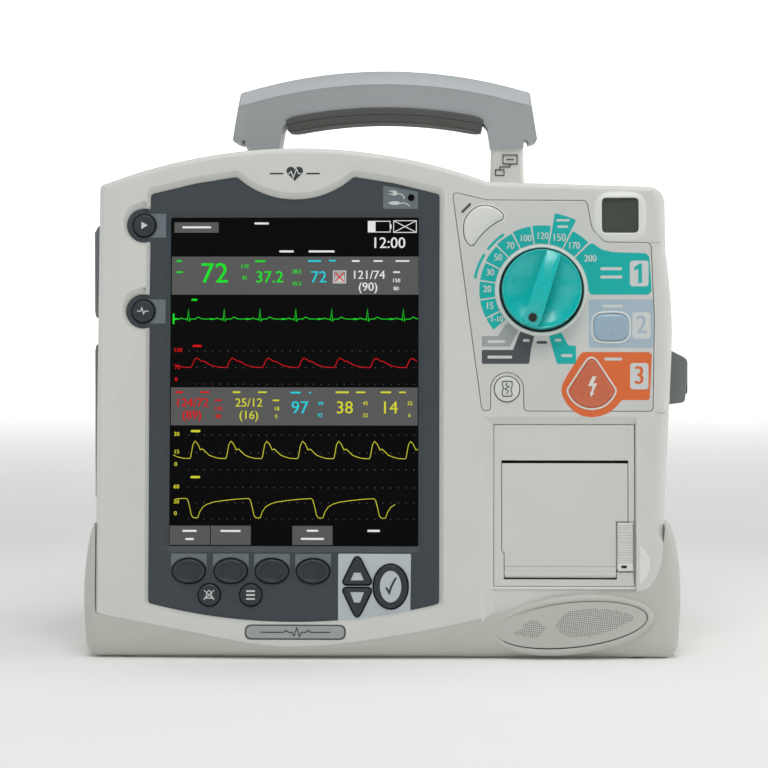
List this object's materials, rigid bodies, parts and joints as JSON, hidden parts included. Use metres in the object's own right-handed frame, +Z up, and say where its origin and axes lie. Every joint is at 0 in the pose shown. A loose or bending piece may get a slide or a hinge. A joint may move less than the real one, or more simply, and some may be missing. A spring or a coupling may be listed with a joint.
{
  "type": "monitor defibrillator",
  "caption": "Portable bedside monitor and defibrillator with an arched front, portrait display, round energy selector knob, keys, strip printer, carrying handle and cradle base.",
  "frame": {"origin": "bottom centre of the object's box, on the plane that the feet stand on", "axes": "+X to the viewer's right along the front, +Y from the front to the back, +Z up"},
  "size_m": [0.315, 0.2078, 0.3083],
  "materials": {
    "housing_white": "fine moulded texture, satin",
    "panel_grey": "satin",
    "bezel_slate": "fine moulded texture, satin",
    "key_slate": "satin",
    "select_grey": "satin",
    "knob_teal": "semi-gloss",
    "charge_blue": "semi-gloss",
    "shock_orange": "semi-gloss",
    "grip_rubber": "matt",
    "handle_grey": "satin",
    "display_glass": "gloss",
    "board_green": "solder resist",
    "sheet_steel": "plain",
    "black_plastic": "satin",
    "roll_paper": "uncoated paper"
  },
  "bodies": {
    "housing": {"front_housing": "housing_white", "base_shell": "housing_white", "rear_housing": "housing_white", "handle_post_left": "housing_white", "handle_post_right": "housing_white", "control_overlay": "housing_white", "knob_ring": "housing_white", "printer_frame": "housing_white", "speaker_grille": "housing_white", "name_plate": "panel_grey", "left_port_panel": "panel_grey", "therapy_port": "panel_grey", "display_bezel": "bezel_slate", "select_plate": "select_grey", "ecg_socket": "select_grey", "spo2_socket": "select_grey", "handle_grip": "grip_rubber", "foot_1": "grip_rubber", "foot_2": "grip_rubber", "foot_3": "grip_rubber", "foot_4": "grip_rubber", "handle": "handle_grey", "display_window": "display_glass", "status_indicator": "display_glass", "keypad_board": "board_green", "control_board": "board_green", "main_board": "board_green", "power_board": "board_green", "door_hinge_pin": "sheet_steel", "chassis": "sheet_steel", "nbp_port": "sheet_steel", "display_module": "black_plastic", "rotary_switch": "black_plastic", "print_head": "black_plastic", "speaker": "black_plastic", "storage_capacitor": "black_plastic"},
    "knob": {"energy_knob": "knob_teal", "knob_shaft": "sheet_steel"},
    "event_key": {"event_button": "key_slate"},
    "lead_key": {"lead_button": "key_slate"},
    "alarm_key": {"alarm_button": "key_slate"},
    "info_key": {"info_button": "key_slate"},
    "softkey_1": {"soft_key_1": "key_slate"},
    "softkey_2": {"soft_key_2": "key_slate"},
    "softkey_3": {"soft_key_3": "key_slate"},
    "softkey_4": {"soft_key_4": "key_slate"},
    "up_key": {"up_button": "bezel_slate"},
    "down_key": {"down_button": "bezel_slate"},
    "select_key": {"select_button": "bezel_slate"},
    "sync_key": {"sync_button": "housing_white"},
    "charge_key": {"charge_button": "charge_blue"},
    "shock_key": {"shock_button": "shock_orange"},
    "strip_key": {"strip_button": "housing_white"},
    "door": {"printer_door": "housing_white"},
    "latch": {"door_latch": "housing_white"},
    "platen": {"platen_roller": "grip_rubber"},
    "roll": {"paper_roll": "roll_paper"},
    "battery": {"battery_pack": "black_plastic"},
    "mains_module": {"ac_power_module": "black_plastic"}
  },
  "joints": [
    {"name": "knob_turn", "type": "hinge", "parent": "housing", "child": "knob", "pos_m": [0.0805, -0.08937, 0.19031], "axis": [0, 0.9962, -0.0872], "range_deg": [-36, 216]},
    {"name": "event_press", "type": "slide", "parent": "housing", "child": "event_key", "axis": [0, 0.9962, -0.0872], "range_m": [0, 0.0012], "stiffness_N_per_m": 800},
    {"name": "lead_press", "type": "slide", "parent": "housing", "child": "lead_key", "axis": [0, 0.9962, -0.0872], "range_m": [0, 0.0012], "stiffness_N_per_m": 800},
    {"name": "alarm_press", "type": "slide", "parent": "housing", "child": "alarm_key", "axis": [0, 0.9962, -0.0872], "range_m": [0, 0.0012], "stiffness_N_per_m": 800},
    {"name": "info_press", "type": "slide", "parent": "housing", "child": "info_key", "axis": [0, 0.9962, -0.0872], "range_m": [0, 0.0012], "stiffness_N_per_m": 800},
    {"name": "soft_key_1_press", "type": "slide", "parent": "housing", "child": "softkey_1", "axis": [0, 0.9962, -0.0872], "range_m": [0, 0.0012], "stiffness_N_per_m": 800},
    {"name": "soft_key_2_press", "type": "slide", "parent": "housing", "child": "softkey_2", "axis": [0, 0.9962, -0.0872], "range_m": [0, 0.0012], "stiffness_N_per_m": 800},
    {"name": "soft_key_3_press", "type": "slide", "parent": "housing", "child": "softkey_3", "axis": [0, 0.9962, -0.0872], "range_m": [0, 0.0012], "stiffness_N_per_m": 800},
    {"name": "soft_key_4_press", "type": "slide", "parent": "housing", "child": "softkey_4", "axis": [0, 0.9962, -0.0872], "range_m": [0, 0.0012], "stiffness_N_per_m": 800},
    {"name": "up_press", "type": "slide", "parent": "housing", "child": "up_key", "axis": [0, 0.9962, -0.0872], "range_m": [0, 0.0012], "stiffness_N_per_m": 800},
    {"name": "down_press", "type": "slide", "parent": "housing", "child": "down_key", "axis": [0, 0.9962, -0.0872], "range_m": [0, 0.0012], "stiffness_N_per_m": 800},
    {"name": "select_press", "type": "slide", "parent": "housing", "child": "select_key", "axis": [0, 0.9962, -0.0872], "range_m": [0, 0.0012], "stiffness_N_per_m": 800},
    {"name": "sync_press", "type": "slide", "parent": "housing", "child": "sync_key", "axis": [0, 0.9962, -0.0872], "range_m": [0, 0.0014], "stiffness_N_per_m": 800},
    {"name": "charge_press", "type": "slide", "parent": "housing", "child": "charge_key", "axis": [0, 0.9962, -0.0872], "range_m": [0, 0.0014], "stiffness_N_per_m": 800},
    {"name": "shock_press", "type": "slide", "parent": "housing", "child": "shock_key", "axis": [0, 0.9962, -0.0872], "range_m": [0, 0.0014], "stiffness_N_per_m": 800},
    {"name": "strip_press", "type": "slide", "parent": "housing", "child": "strip_key", "axis": [0, 0.9962, -0.0872], "range_m": [0, 0.0014], "stiffness_N_per_m": 800},
    {"name": "door_swing", "type": "hinge", "parent": "housing", "child": "door", "pos_m": [0.0924, -0.0915, 0.04434], "axis": [1, 0, 0], "range_deg": [0, 50]},
    {"name": "latch_slide", "type": "slide", "parent": "door", "child": "latch", "axis": [0, 0.0872, 0.9962], "range_m": [0, 0.004], "stiffness_N_per_m": 300},
    {"name": "platen_spin", "type": "hinge", "parent": "door", "child": "platen", "pos_m": [0.0924, -0.08072, 0.09409], "axis": [1, 0, 0], "continuous": true},
    {"name": "roll_spin", "type": "hinge", "parent": "housing", "child": "roll", "pos_m": [0.0924, -0.06608, 0.06069], "axis": [1, 0, 0], "continuous": true},
    {"name": "battery_slide", "type": "slide", "parent": "housing", "child": "battery", "axis": [0, 1, 0], "range_m": [0, 0.055]},
    {"name": "mains_module_slide", "type": "slide", "parent": "housing", "child": "mains_module", "axis": [0, 1, 0], "range_m": [0, 0.055]}
  ]
}
